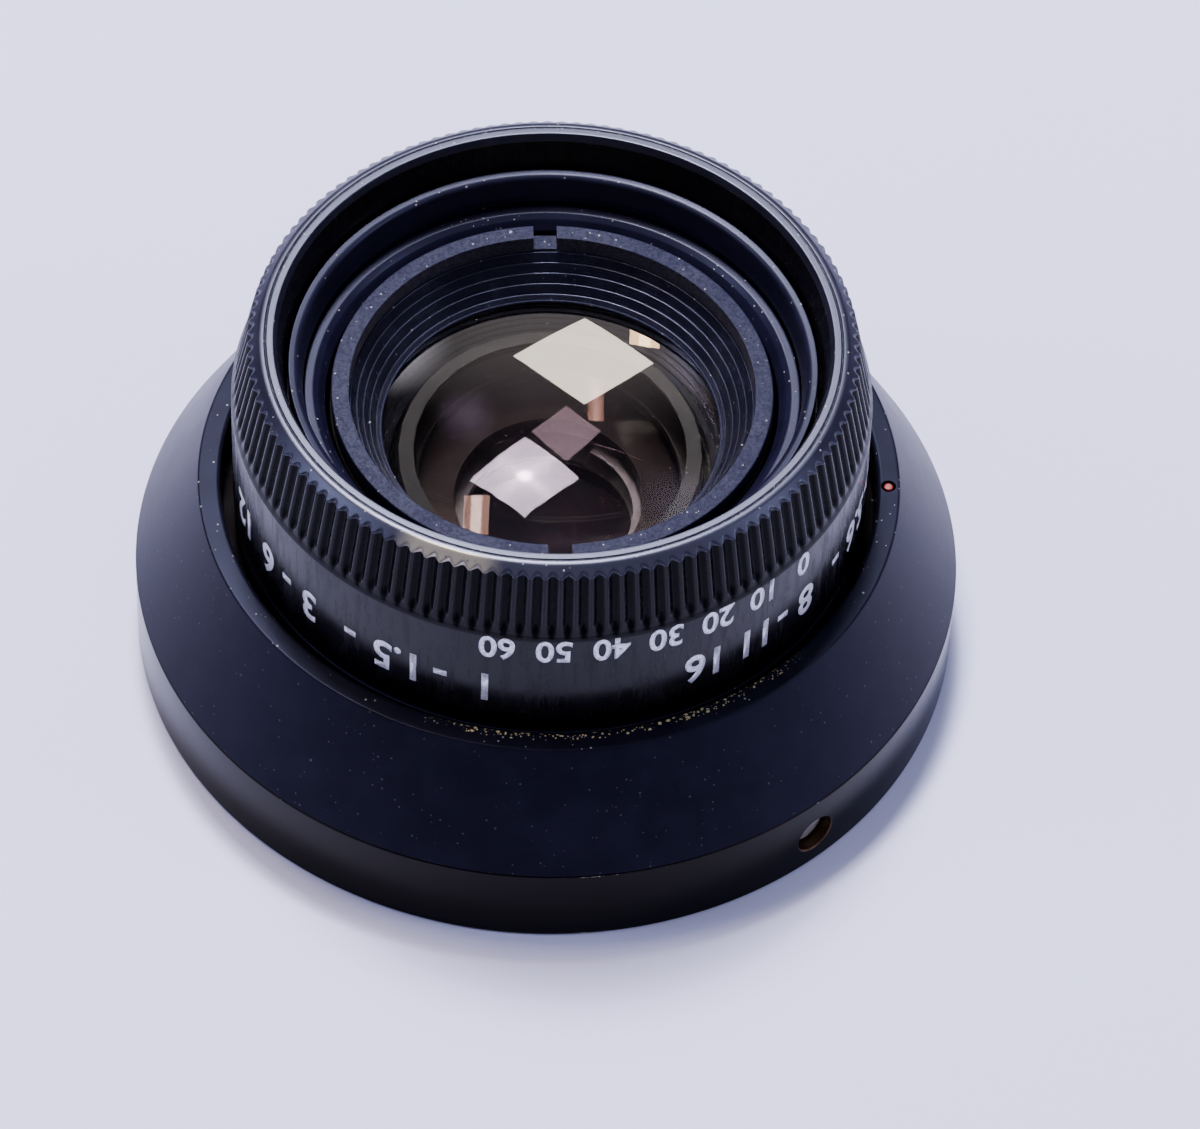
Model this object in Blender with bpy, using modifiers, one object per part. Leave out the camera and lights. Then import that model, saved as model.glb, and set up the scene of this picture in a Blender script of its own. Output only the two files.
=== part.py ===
"""Enlarging lens with a knurled aperture ring, held in a conical adapter flange.

The optical axis is +Z and points out of the front of the lens. The origin is the centre of the
flange's underside, the plane that the lens stands on. Lengths below are millimetres and are
turned into metres by MM. Turned pieces are (radius, height) profiles that run down the outer
side and back up the bore.
"""
import math

import bmesh
import bpy
from mathutils import Matrix, Vector

MM = 0.001
GAP = 0.3                    # clearance between neighbouring pieces
COARSE = 32                  # facets round the small inner pieces
FINE = 48                    # facets round the large rings
SHARP_ANGLE = math.radians(30)

# Adapter flange
FLANGE_R = 29.0
RIM_HEIGHT = 6.5
CONE_TOP_R = 24.45
FLANGE_TOP = 14.8
RECESS_R = 22.9
RECESS_FLOOR = 11.6
SOCKET_R = 25.8
SOCKET_DEPTH = 7.0
SCREW_AZIMUTH = math.radians(-48.4)
SCREW_HEIGHT = 3.0
SCREW_R = 1.2
INDEX_R = 0.32

# Lens barrel: a 39 mm mounting thread below, the cell tube above
THREAD_R = 19.5
BARREL_REAR = 5.0
SHOULDER_R = 22.0
SHOULDER_TOP = 13.6
TUBE_R = 17.05
TUBE_BORE_R = 15.6
TUBE_TOP = 23.87
REAR_BORE_R = 13.2
IRIS_SEAT = 8.7

# Aperture ring
BAND_R = 22.04
BAND_TOP = 23.7
KNURL_TOP_R = 20.88
KNURL_TOP = 28.47
RING_BOTTOM = SHOULDER_TOP + GAP
RING_TOP = 29.1
COUNTERBORE_R = 18.4
BEZEL_TOP = 26.48
RING_TRAVEL = math.radians(60)
KEY_AZIMUTH = math.radians(90)
KEY_HEIGHT = 15.0
KEY_R = 0.55
BALL_R = 0.4
BALL_RADIUS = 21.0
BALL_AZIMUTH = math.radians(120)

# Iris
BLADES = 5
PIVOT_RADIUS = 12.6
BLADE_INNER_R = 5.5
BLADE_OUTER_R = 10.4
TAB_R = 13.7
BLADE_SPAN = math.radians(135)
TAB_SPAN = math.radians(24)
BLADE_BACK = math.radians(-6)
BLADE_THICKNESS = 0.12
BLADE_PITCH = 0.25
BLADE_LEVEL = 10.1
PIN_R = 0.45
DRIVE_RADIUS = 12.9
DRIVE_AZIMUTH = math.radians(20)
SMALLEST_STOP_R = 1.55
SLOT_HALF_WIDTH = PIN_R + 0.25
BASE_RING = (9.0, 9.9)
ACTUATOR_PLATE = (11.42, 12.2)
ACTUATOR_TOP = 16.0

# Glass, as radii, edge heights and radii of curvature
FRONT_CLEAR_R = 11.7
FRONT_EDGE_R = 13.3
FRONT_CURVE = 40.0
FRONT_RIM_HEIGHT = 19.5      # height of the glass at the clear radius
FRONT_REAR = 16.6
MIDDLE_R = 9.9
MIDDLE_EDGES = (13.4, 15.6)
MIDDLE_CURVES = (30.0, 400.0)
REAR_R = 9.0
REAR_EDGES = (6.6, 7.6)
REAR_CURVES = (24.0, 30.0)

# Cells that hold the glass, and the ridged ring in front of it
CELL_R = TUBE_BORE_R - GAP
CELL_TOP = 22.2
CELL_LEDGE = 19.0
CELL_MOUTH_R = 8.4
CELL_MOUTH_TOP = 13.1
SKIRT_BORE_R = 14.3
BAFFLE_R = 15.2
BAFFLE_FLANGE = 1.37
BAFFLE_BORE_R = 13.95
RIDGES = 5
RIDGE_START = 1.3            # depth of the baffle's first wall
RIDGE_STEP = ((BAFFLE_BORE_R - FRONT_CLEAR_R) / RIDGES, 0.6)
NOTCH_WIDTH = 1.65
NOTCH_TURN = math.radians(3.6)
REAR_CELL_R = REAR_BORE_R - GAP
REAR_CELL_BOTTOM = 4.7
REAR_LEDGE = 8.0
REAR_RING = (4.8, 5.8)
REAR_RING_BORE_R = 7.9

# The ring turns by RING_TRAVEL while a blade swings by this much about its pivot.
BLADE_SWING = 2 * math.asin((BLADE_INNER_R - SMALLEST_STOP_R) / (2 * PIVOT_RADIUS))


def clear_scene():
    """Remove whatever the open file holds."""
    for obj in list(bpy.data.objects):
        bpy.data.objects.remove(obj, do_unlink=True)


def make_collection(name):
    """Add a collection to the scene."""
    collection = bpy.data.collections.new(name)
    bpy.context.scene.collection.children.link(collection)
    return collection


def make_material(name, colour, roughness, metallic=0.0, transmission=0.0):
    """Make a Principled material with the piece's plain colour."""
    material = bpy.data.materials.new(name)
    material.use_nodes = True
    shader = material.node_tree.nodes["Principled BSDF"]
    shader.inputs["Base Color"].default_value = (*colour, 1.0)
    shader.inputs["Roughness"].default_value = roughness
    shader.inputs["Metallic"].default_value = metallic
    shader.inputs["Transmission Weight"].default_value = transmission
    return material


def add_object(name, mesh, material=None):
    """Link a mesh as a piece, or as a hidden cutter when it has no material."""
    obj = bpy.data.objects.new(name, mesh)
    if material is None:
        CUTTERS.objects.link(obj)
        obj.hide_render = True
        obj.display_type = "WIRE"
    else:
        PIECES.objects.link(obj)
        mesh.materials.clear()
        mesh.materials.append(material)
    return obj


def baked(obj):
    """Return the evaluated mesh of a helper object and remove the helper."""
    scene_collection = bpy.context.scene.collection
    scene_collection.objects.link(obj)
    graph = bpy.context.evaluated_depsgraph_get()
    mesh = bpy.data.meshes.new_from_object(obj.evaluated_get(graph))
    bpy.data.objects.remove(obj, do_unlink=True)
    return mesh


def shade(mesh):
    """Shade round faces smooth and keep the corners crisp."""
    mesh.shade_smooth()
    mesh.set_sharp_from_angle(angle=SHARP_ANGLE)


def turned_mesh(name, profile, facets, closed=True):
    """Turn a profile about Z; an open profile starts and ends on the axis."""
    mesh = bpy.data.meshes.new(name + "_profile")
    points = [(r * MM, 0.0, z * MM) for r, z in profile]
    edges = [(i, i + 1) for i in range(len(points) - 1)]
    if closed:
        edges.append((len(points) - 1, 0))
    mesh.from_pydata(points, edges, [])
    helper = bpy.data.objects.new(name + "_profile", mesh)
    screw = helper.modifiers.new("turn", "SCREW")
    screw.axis = "Z"
    screw.steps = facets
    screw.render_steps = facets
    screw.use_merge_vertices = True
    screw.merge_threshold = 0.000001
    result = baked(helper)
    shade(result)
    result.name = name
    return result


def turned(name, profile, material, facets=FINE, closed=True):
    """Make a turned piece."""
    return add_object(name, turned_mesh(name, profile, facets, closed), material)


def outline_mesh(name, outline, bottom, top):
    """Make a flat piece from an outline between two heights."""
    curve = bpy.data.curves.new(name + "_outline", "CURVE")
    curve.dimensions = "2D"
    curve.fill_mode = "BOTH"
    curve.extrude = (top - bottom) / 2 * MM
    spline = curve.splines.new("POLY")
    spline.points.add(len(outline) - 1)
    for point, (x, y) in zip(spline.points, outline):
        point.co = (x * MM, y * MM, 0.0, 1.0)
    spline.use_cyclic_u = True
    mesh = baked(bpy.data.objects.new(name + "_outline", curve))
    mesh.transform(Matrix.Translation((0, 0, (top + bottom) / 2 * MM)))
    bm = bmesh.new()
    bm.from_mesh(mesh)
    bmesh.ops.remove_doubles(bm, verts=bm.verts, dist=0.000001)
    bmesh.ops.recalc_face_normals(bm, faces=bm.faces)
    bm.to_mesh(mesh)
    bm.free()
    return mesh


def rod_mesh(name, radius, start, end, facets=12):
    """Make a cylinder between two points."""
    start, end = Vector(start) * MM, Vector(end) * MM
    axis = end - start
    turn = axis.to_track_quat("Z", "Y").to_matrix().to_4x4()
    mesh = bpy.data.meshes.new(name)
    bm = bmesh.new()
    bmesh.ops.create_cone(bm, cap_ends=True, segments=facets, radius1=radius * MM,
                          radius2=radius * MM, depth=axis.length,
                          matrix=Matrix.Translation((start + end) / 2) @ turn)
    bm.to_mesh(mesh)
    bm.free()
    shade(mesh)
    return mesh


def box_mesh(name, size, matrix):
    """Make a box of the given size at a matrix in millimetres."""
    mesh = bpy.data.meshes.new(name)
    bm = bmesh.new()
    bmesh.ops.create_cube(bm, size=1.0, matrix=matrix @ Matrix.Diagonal((*size, 1.0)))
    bmesh.ops.scale(bm, vec=(MM, MM, MM), verts=bm.verts)
    bm.to_mesh(mesh)
    bm.free()
    return mesh


def boolean(target, mesh, operation="DIFFERENCE"):
    """Cut a mesh from a piece, or join it on."""
    tool = add_object(mesh.name, mesh)
    modifier = target.modifiers.new(mesh.name, "BOOLEAN")
    modifier.operation = operation
    modifier.solver = "EXACT"
    modifier.object = tool
    return tool


def polar(radius, azimuth, height=0.0):
    """Point at a radius and azimuth about the optical axis."""
    return Vector((radius * math.cos(azimuth), radius * math.sin(azimuth), height))


def arc(radius, start, end, steps):
    """Points (x, y) along an arc about the optical axis."""
    angles = [start + (end - start) * i / steps for i in range(steps + 1)]
    return [tuple(polar(radius, a).xy) for a in angles]


def sag(radius, curve):
    """Depth of a spherical surface at a radius."""
    return curve - math.sqrt(curve * curve - radius * radius)


def surface(apex, curve, edge, direction, steps=5):
    """Profile of a spherical surface from the axis out to its edge."""
    radii = [edge * i / steps for i in range(steps + 1)]
    return [(r, apex + direction * sag(r, curve)) for r in radii]


def notch_pair(target, name, radius, width, top, depth, length, turn=0.0):
    """Cut two spanner notches on opposite sides of a ring, turned from the Y axis."""
    for side in (-1, 1):
        place = Matrix.Rotation(turn, 4, "Z") @ Matrix.Translation((0, side * radius, top))
        boolean(target, box_mesh(f"{name}_{side}", (width, length, 2 * depth), place))


def make_flange():
    """Adapter flange: rim, cone, recess for the ring, bore for the lens, socket below."""
    bore = THREAD_R + GAP
    flange = turned("lens_flange", [
        (CONE_TOP_R - 0.2, FLANGE_TOP), (CONE_TOP_R, FLANGE_TOP - 0.15),
        (FLANGE_R - 0.15, RIM_HEIGHT + 0.1), (FLANGE_R, RIM_HEIGHT - 0.15),
        (FLANGE_R, 0.3), (FLANGE_R - 0.3, 0.0),
        (SOCKET_R, 0.0), (SOCKET_R, SOCKET_DEPTH), (bore, SOCKET_DEPTH),
        (bore, RECESS_FLOOR), (RECESS_R, RECESS_FLOOR), (RECESS_R, FLANGE_TOP - 0.25),
        (RECESS_R + 0.25, FLANGE_TOP)], BLACK_PAINT)
    outward = polar(1, SCREW_AZIMUTH)
    at = Vector((0, 0, SCREW_HEIGHT))
    boolean(flange, rod_mesh("set_screw_hole", SCREW_R + GAP, at + outward * (SOCKET_R - 1),
                             at + outward * (FLANGE_R + 1), 16))
    screw = add_object("flange_set_screw", rod_mesh("flange_set_screw", SCREW_R,
                                                    at + outward * (SOCKET_R + 0.1),
                                                    at + outward * (FLANGE_R - 0.9), 16), STEEL)
    boolean(screw, rod_mesh("set_screw_socket", SCREW_R * 0.55, at + outward * (FLANGE_R - 2.0),
                            at + outward * FLANGE_R, 6))
    lip = (RECESS_R + CONE_TOP_R) / 2
    boolean(flange, rod_mesh("index_hole", INDEX_R + 0.2, (lip, 0, FLANGE_TOP - 1.3),
                             (lip, 0, FLANGE_TOP + 1)))
    add_object("index_mark", rod_mesh("index_mark", INDEX_R, (lip, 0, FLANGE_TOP - 1.0),
                                      (lip, 0, FLANGE_TOP)), RED_PAINT)


def make_barrel():
    """Lens barrel with the key slot, and the ring that locks it in the flange."""
    seat_r = THREAD_R + 1.1
    barrel = turned("lens_barrel", [
        (TUBE_R - 0.3, TUBE_TOP), (TUBE_R, TUBE_TOP - 0.3), (TUBE_R, SHOULDER_TOP),
        (SHOULDER_R, SHOULDER_TOP), (SHOULDER_R, SHOULDER_TOP - 1.0),
        (seat_r, SHOULDER_TOP - 1.0), (seat_r, RECESS_FLOOR + GAP),
        (THREAD_R, RECESS_FLOOR + GAP), (THREAD_R, BARREL_REAR), (REAR_BORE_R, BARREL_REAR),
        (REAR_BORE_R, IRIS_SEAT), (TUBE_BORE_R, IRIS_SEAT), (TUBE_BORE_R, TUBE_TOP - 1.0),
        (TUBE_BORE_R + 0.6, TUBE_TOP)], BLACK_PAINT)
    margin = math.radians(6)
    start, end = KEY_AZIMUTH - margin, KEY_AZIMUTH + RING_TRAVEL + margin
    outline = arc(TUBE_R + 1, start, end, 12) + arc(TUBE_BORE_R - 1, end, start, 12)
    boolean(barrel, outline_mesh("key_slot", outline, KEY_HEIGHT - KEY_R - GAP,
                                 KEY_HEIGHT + KEY_R + GAP))
    at = polar(BALL_RADIUS, BALL_AZIMUTH)
    boolean(barrel, rod_mesh("ball_hole", BALL_R + 0.2, at + Vector((0, 0, SHOULDER_TOP - 2)),
                             at + Vector((0, 0, SHOULDER_TOP + 1))))
    lock = turned("mount_lock_ring", [
        (THREAD_R + 2.3, SOCKET_DEPTH - GAP), (THREAD_R + 2.3, BARREL_REAR),
        (THREAD_R + GAP, BARREL_REAR), (THREAD_R + GAP, SOCKET_DEPTH - GAP)], BRASS)
    notch_pair(lock, "lock_ring_notch", THREAD_R + 2.3, 2.0, BARREL_REAR, 0.9, 2.4)
    turned("ring_retainer", [
        (COUNTERBORE_R - GAP, TUBE_TOP), (COUNTERBORE_R - GAP, TUBE_TOP - 0.97),
        (TUBE_R + GAP, TUBE_TOP - 0.97), (TUBE_R + GAP, TUBE_TOP)], BLACK_PAINT)


def make_click_stop():
    """Ball in the barrel's shoulder, pressed up by an arched leaf spring below it."""
    at = polar(BALL_RADIUS, BALL_AZIMUTH, SHOULDER_TOP - BALL_R + 0.15)
    mesh = bpy.data.meshes.new("click_ball")
    bm = bmesh.new()
    bmesh.ops.create_uvsphere(bm, u_segments=12, v_segments=8, radius=BALL_R * MM,
                              matrix=Matrix.Translation(at * MM))
    bm.to_mesh(mesh)
    bm.free()
    shade(mesh)
    add_object("click_ball", mesh, STEEL)
    half = math.radians(16)
    start, end = BALL_AZIMUTH - half, BALL_AZIMUTH + half
    outline = arc(BALL_RADIUS + 0.65, start, end, 10) + arc(BALL_RADIUS - 0.05, end, start, 10)
    add_object("click_spring", outline_mesh("click_spring", outline, SHOULDER_TOP - 1.45,
                                            SHOULDER_TOP - 1.25), STEEL)


def make_aperture_ring():
    """Knurled and numbered ring, its stepped bezel and the key that turns the iris."""
    land = TUBE_R + GAP
    ring = turned("aperture_ring", [
        (20.05, RING_TOP), (KNURL_TOP_R, KNURL_TOP), (BAND_R - 0.2, BAND_TOP),
        (BAND_R, BAND_TOP - 0.2), (BAND_R, RING_BOTTOM + 0.25), (BAND_R - 0.25, RING_BOTTOM),
        (land, RING_BOTTOM), (land, 16.2), (land + 1.2, 16.5), (land + 1.2, 20.3),
        (land, 20.6), (land, TUBE_TOP - 1.27), (COUNTERBORE_R, TUBE_TOP - 1.27),
        (COUNTERBORE_R, BEZEL_TOP), (18.97, RING_TOP)], BLACK_ANODISED)
    at = Vector((0, 0, KEY_HEIGHT))
    outward = polar(1, KEY_AZIMUTH)
    boolean(ring, rod_mesh("key_hole", KEY_R + GAP, at + outward * (TUBE_R - 0.5),
                           at + outward * (BAND_R + 1)))
    add_object("ring_key", rod_mesh("ring_key", KEY_R, at + outward * (TUBE_BORE_R - 0.9),
                                    at + outward * (BAND_R - 0.8)), STEEL)
    turned("inner_bezel", [
        (COUNTERBORE_R - GAP, BEZEL_TOP), (COUNTERBORE_R - GAP, TUBE_TOP + GAP),
        (TUBE_R + 0.05, TUBE_TOP + GAP), (17.6, BEZEL_TOP - 0.25), (17.8, BEZEL_TOP)],
        BLACK_ANODISED)


def make_front_cell():
    """Cell with the two front glasses, their spacer and the ridged baffle ring."""
    neck_r = SKIRT_BORE_R - GAP
    plate_top = ACTUATOR_PLATE[1] + GAP
    seat = FRONT_REAR - GAP
    rim_bore = SKIRT_BORE_R + GAP
    turned("front_cell", [
        (CELL_R, CELL_TOP), (CELL_R, ACTUATOR_TOP + GAP), (neck_r, ACTUATOR_TOP + GAP),
        (neck_r, plate_top), (CELL_MOUTH_R, plate_top), (CELL_MOUTH_R, CELL_MOUTH_TOP),
        (MIDDLE_R + GAP, CELL_MOUTH_TOP), (MIDDLE_R + GAP, seat), (FRONT_EDGE_R + GAP, seat),
        (FRONT_EDGE_R + GAP, CELL_LEDGE), (rim_bore, CELL_LEDGE), (rim_bore, CELL_TOP)],
        BLACK_PAINT)
    foot = FRONT_RIM_HEIGHT + GAP
    steps = []
    for i in range(RIDGES):
        height = TUBE_TOP - RIDGE_START - i * RIDGE_STEP[1]
        steps.append((BAFFLE_BORE_R - i * RIDGE_STEP[0], height))
        steps.append((BAFFLE_BORE_R - (i + 1) * RIDGE_STEP[0], height))
    baffle = turned("front_baffle_ring", [
        (BAFFLE_R, TUBE_TOP), (BAFFLE_R, TUBE_TOP - BAFFLE_FLANGE),
        (SKIRT_BORE_R, TUBE_TOP - BAFFLE_FLANGE), (SKIRT_BORE_R, foot),
        (FRONT_CLEAR_R, foot)] + steps[::-1] + [(BAFFLE_BORE_R, TUBE_TOP)], BLACK_PAINT)
    notch_pair(baffle, "baffle_notch", (BAFFLE_R + BAFFLE_BORE_R) / 2, NOTCH_WIDTH, TUBE_TOP,
               1.1, 2.2, NOTCH_TURN)
    apex = FRONT_RIM_HEIGHT + sag(FRONT_CLEAR_R, FRONT_CURVE)
    front = surface(apex, FRONT_CURVE, FRONT_EDGE_R, -1, 7)
    turned("front_element", front + [(FRONT_EDGE_R, FRONT_REAR), (0.0, FRONT_REAR)], GLASS,
           closed=False)
    turned("spacer_ring", [
        (MIDDLE_R, FRONT_REAR - GAP), (MIDDLE_R, MIDDLE_EDGES[1] + 0.2),
        (MIDDLE_R - 1.0, MIDDLE_EDGES[1] + 0.2), (MIDDLE_R - 1.0, FRONT_REAR - GAP)],
        BRASS, COARSE)
    low, high = MIDDLE_EDGES
    upper = surface(high - sag(MIDDLE_R, MIDDLE_CURVES[0]), MIDDLE_CURVES[0], MIDDLE_R, 1, 4)
    lower = surface(low + sag(MIDDLE_R, MIDDLE_CURVES[1]), MIDDLE_CURVES[1], MIDDLE_R, -1, 4)
    turned("middle_element", upper + lower[::-1], GLASS, COARSE, closed=False)


def blade_outline():
    """Crescent with a tab for the two pins, about the optical axis, pivot at azimuth zero."""
    inner = arc(BLADE_INNER_R, BLADE_BACK, BLADE_SPAN, 14)
    outer = arc(BLADE_OUTER_R, BLADE_SPAN - math.radians(2), TAB_SPAN + math.radians(6), 10)
    tab = arc(TAB_R, TAB_SPAN, BLADE_BACK, 3)
    return inner + outer + tab


def drive_pin_path(steps=12):
    """Where a blade's drive pin runs in the actuator ring as the ring turns."""
    pivot = Vector((PIVOT_RADIUS, 0.0))
    arm = polar(DRIVE_RADIUS, DRIVE_AZIMUTH).xy - pivot
    path = []
    for i in range(steps + 1):
        swing = Matrix.Rotation(BLADE_SWING * i / steps, 2)
        unturn = Matrix.Rotation(-RING_TRAVEL * i / steps, 2)
        path.append(unturn @ (pivot + swing @ arm))
    return path


def slot_outline():
    """Outline of constant width round the drive pin's path, with round ends."""
    path = drive_pin_path()
    sides = ([], [])
    for i, point in enumerate(path):
        along = path[min(i + 1, len(path) - 1)] - path[max(i - 1, 0)]
        normal = Vector((-along.y, along.x)).normalized() * SLOT_HALF_WIDTH
        sides[0].append(tuple(point + normal))
        sides[1].append(tuple(point - normal))

    def cap(end, inner):
        away = (end - inner).normalized() * SLOT_HALF_WIDTH
        turns = [math.radians(a) for a in (45, 0, -45)]
        return [tuple(end + Matrix.Rotation(t, 2) @ away) for t in turns]

    return sides[0] + cap(path[-1], path[-2]) + sides[1][::-1] + cap(path[0], path[1])


def make_iris():
    """Base ring with pivot holes, five blades and the slotted ring that swings them."""
    base_bore = BLADE_INNER_R + GAP
    plate_bore = base_bore + 0.2
    base = turned("iris_base_ring", [
        (CELL_R, BASE_RING[1]), (CELL_R, BASE_RING[0]), (base_bore, BASE_RING[0]),
        (base_bore, BASE_RING[1])], BRASS)
    actuator = turned("iris_actuator_ring", [
        (CELL_R, ACTUATOR_TOP), (CELL_R, ACTUATOR_PLATE[0]), (plate_bore, ACTUATOR_PLATE[0]),
        (plate_bore, ACTUATOR_PLATE[1]), (SKIRT_BORE_R, ACTUATOR_PLATE[1]),
        (SKIRT_BORE_R, ACTUATOR_TOP)], BRASS)
    at = Vector((0, 0, KEY_HEIGHT))
    outward = polar(1, KEY_AZIMUTH)
    boolean(actuator, rod_mesh("actuator_key_hole", KEY_R + 0.2, at + outward * (SKIRT_BORE_R - 1),
                               at + outward * (CELL_R + 1)))
    slot = slot_outline()
    to_pivot = Matrix.Translation((-PIVOT_RADIUS * MM, 0, 0))
    for i in range(BLADES):
        azimuth = 2 * math.pi * i / BLADES
        turn = Matrix.Rotation(azimuth, 4, "Z")
        low = BLADE_LEVEL + i * BLADE_PITCH
        high = low + BLADE_THICKNESS
        blade_mesh = outline_mesh(f"iris_blade_{i + 1}", blade_outline(), low, high)
        blade_mesh.transform(to_pivot)
        blade = add_object(f"iris_blade_{i + 1}", blade_mesh, SPRING_STEEL)
        overlap = BLADE_THICKNESS / 2
        drive = polar(DRIVE_RADIUS, DRIVE_AZIMUTH) - Vector((PIVOT_RADIUS, 0, 0))
        pins = [
            rod_mesh(f"pivot_pin_{i + 1}", PIN_R, (0, 0, BASE_RING[0] + 0.15),
                     (0, 0, low + overlap), 8),
            rod_mesh(f"drive_pin_{i + 1}", PIN_R, drive + Vector((0, 0, high - overlap)),
                     drive + Vector((0, 0, ACTUATOR_PLATE[1] - 0.2)), 8)]
        for tool in [boolean(blade, pin, "UNION") for pin in pins] + [blade]:
            tool.location = polar(PIVOT_RADIUS, azimuth) * MM
            tool.rotation_euler.z = azimuth
        hole = rod_mesh(f"pivot_hole_{i + 1}", PIN_R + 0.25, (PIVOT_RADIUS, 0, BASE_RING[0] - 1),
                        (PIVOT_RADIUS, 0, BASE_RING[1] + 1), 10)
        hole.transform(turn)
        boolean(base, hole)
        groove = outline_mesh(f"drive_slot_{i + 1}", slot, ACTUATOR_PLATE[0] - 1,
                              ACTUATOR_PLATE[1] + 1)
        groove.transform(turn)
        boolean(actuator, groove)


def make_rear_cell():
    """Rear cell, its glass and the notched ring that holds the glass."""
    glass_bore = REAR_R + GAP
    turned("rear_cell", [
        (REAR_CELL_R, IRIS_SEAT - GAP), (REAR_CELL_R, REAR_CELL_BOTTOM),
        (glass_bore, REAR_CELL_BOTTOM), (glass_bore, REAR_LEDGE), (CELL_MOUTH_R, REAR_LEDGE),
        (CELL_MOUTH_R, IRIS_SEAT - GAP)], BLACK_PAINT)
    low, high = REAR_EDGES
    front = surface(high + sag(REAR_R, REAR_CURVES[0]), REAR_CURVES[0], REAR_R, -1)
    rear = surface(low - sag(REAR_R, REAR_CURVES[1]), REAR_CURVES[1], REAR_R, 1)
    turned("rear_element", front + rear[::-1], GLASS, COARSE, closed=False)
    bottom, top = REAR_RING
    ring = turned("rear_retaining_ring", [
        (REAR_R, top), (REAR_R, bottom), (REAR_RING_BORE_R, bottom), (REAR_RING_BORE_R, top)],
        BLACK_PAINT, COARSE)
    notch_pair(ring, "rear_notch", (REAR_R + REAR_RING_BORE_R) / 2, 1.4, bottom, 0.6, 1.6)


clear_scene()
PIECES = make_collection("enlarging_lens")
CUTTERS = make_collection("cutters")
CUTTERS.hide_render = True
BLACK_PAINT = make_material("satin_black", (0.018, 0.018, 0.022), 0.32)
BLACK_ANODISED = make_material("anodised_black", (0.022, 0.022, 0.028), 0.42, 0.6)
BRASS = make_material("blackened_brass", (0.16, 0.12, 0.06), 0.4, 1.0)
STEEL = make_material("steel", (0.45, 0.44, 0.42), 0.35, 1.0)
SPRING_STEEL = make_material("blued_steel", (0.05, 0.05, 0.06), 0.4, 1.0)
RED_PAINT = make_material("red_enamel", (0.55, 0.03, 0.02), 0.4)
GLASS = make_material("coated_glass", (0.9, 0.86, 0.9), 0.02, 0.0, 1.0)
make_flange()
make_barrel()
make_click_stop()
make_aperture_ring()
make_front_cell()
make_iris()
make_rear_cell()
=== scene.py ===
"""Looks of the enlarging lens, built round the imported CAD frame.

Profiles are (radius, height) in millimetres about the optical axis, which is +Z. They run down
the outer side of a piece and back up its bore, and they start from the CAD nodes' boxes.
"""
import math

import bmesh
import bpy
import numpy as np
from mathutils import Matrix, Vector


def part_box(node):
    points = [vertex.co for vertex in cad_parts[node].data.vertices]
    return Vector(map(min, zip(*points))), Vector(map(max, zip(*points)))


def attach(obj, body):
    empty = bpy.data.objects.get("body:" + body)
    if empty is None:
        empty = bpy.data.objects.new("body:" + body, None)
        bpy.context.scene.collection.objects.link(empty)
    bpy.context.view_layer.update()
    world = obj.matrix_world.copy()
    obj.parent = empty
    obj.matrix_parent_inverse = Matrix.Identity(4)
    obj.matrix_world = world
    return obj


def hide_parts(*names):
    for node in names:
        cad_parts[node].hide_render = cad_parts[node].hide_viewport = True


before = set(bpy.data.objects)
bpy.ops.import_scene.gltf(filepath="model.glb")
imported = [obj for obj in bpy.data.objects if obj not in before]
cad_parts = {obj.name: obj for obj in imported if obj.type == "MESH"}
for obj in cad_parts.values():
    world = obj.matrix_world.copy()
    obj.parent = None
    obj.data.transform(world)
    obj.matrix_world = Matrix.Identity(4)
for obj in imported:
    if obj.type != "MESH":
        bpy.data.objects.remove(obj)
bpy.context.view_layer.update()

MM = 0.001
ROUND = 256                  # segments round a turned piece
EDGE = 0.12                  # usual radius of a broken edge
SUPPORT = 0.1                # flat kept flat beside a rounded edge
ARC_STEPS = 4                # faces round a broken edge
ROD_FACETS = 48


def extent(node):
    """Outer radius, bottom and top of a turned CAD node, in millimetres."""
    low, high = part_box(node)
    return high.x / MM, low.z / MM, high.z / MM


FLANGE_R, FLANGE_BOTTOM, FLANGE_TOP = extent("lens_flange")
BAND_R, RING_BOTTOM, RING_TOP = extent("aperture_ring")
BEZEL_R, BEZEL_BOTTOM, BEZEL_TOP = extent("inner_bezel")
SHOULDER_R, BARREL_BOTTOM, TUBE_TOP = extent("lens_barrel")
BAFFLE_R, BAFFLE_FOOT, BAFFLE_TOP = extent("front_baffle_ring")
CELL_R, CELL_BOTTOM, CELL_TOP = extent("front_cell")
FRONT_R, FRONT_REAR, FRONT_APEX = extent("front_element")
MIDDLE_R, MIDDLE_BOTTOM, MIDDLE_TOP = extent("middle_element")
REAR_R, REAR_BOTTOM, REAR_TOP = extent("rear_element")
REAR_CELL_R, REAR_CELL_BOTTOM, REAR_CELL_TOP = extent("rear_cell")
REAR_RING_R, REAR_RING_BOTTOM, REAR_RING_TOP = extent("rear_retaining_ring")
LOCK_R, LOCK_BOTTOM, LOCK_TOP = extent("mount_lock_ring")

# Aperture ring
KNURL_FOOT = 23.7            # height of the grooves' lower ends
KNURL_HEAD = 28.47           # height where the knurl meets the chamfer
KNURL_HEAD_R = 20.88
RIM_OUTER_R = 20.05
RIM_INNER_R = 18.97
GROOVES = 128
GROOVE_DEPTH = 0.38
GROOVE_SHARE = 0.8           # part of the pitch that a groove takes
RING_TRAVEL = math.radians(60)

# Glass: radius of curvature of the upper and the lower surface
FRONT_CURVES = (40.0, 900.0)
MIDDLE_CURVES = (30.0, 400.0)
REAR_CURVES = (24.0, 30.0)
FRONT_REAR_RISE = 0.9        # the front glass's rear face is this far above the CAD's
GLASS_EDGE = 0.15            # bevel round a glass
GLASS_ROOM = 0.3             # between a glass's CAD edge and the bore round it
GLASS_IOR = 1.62
DOME_STEPS = 24

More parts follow.
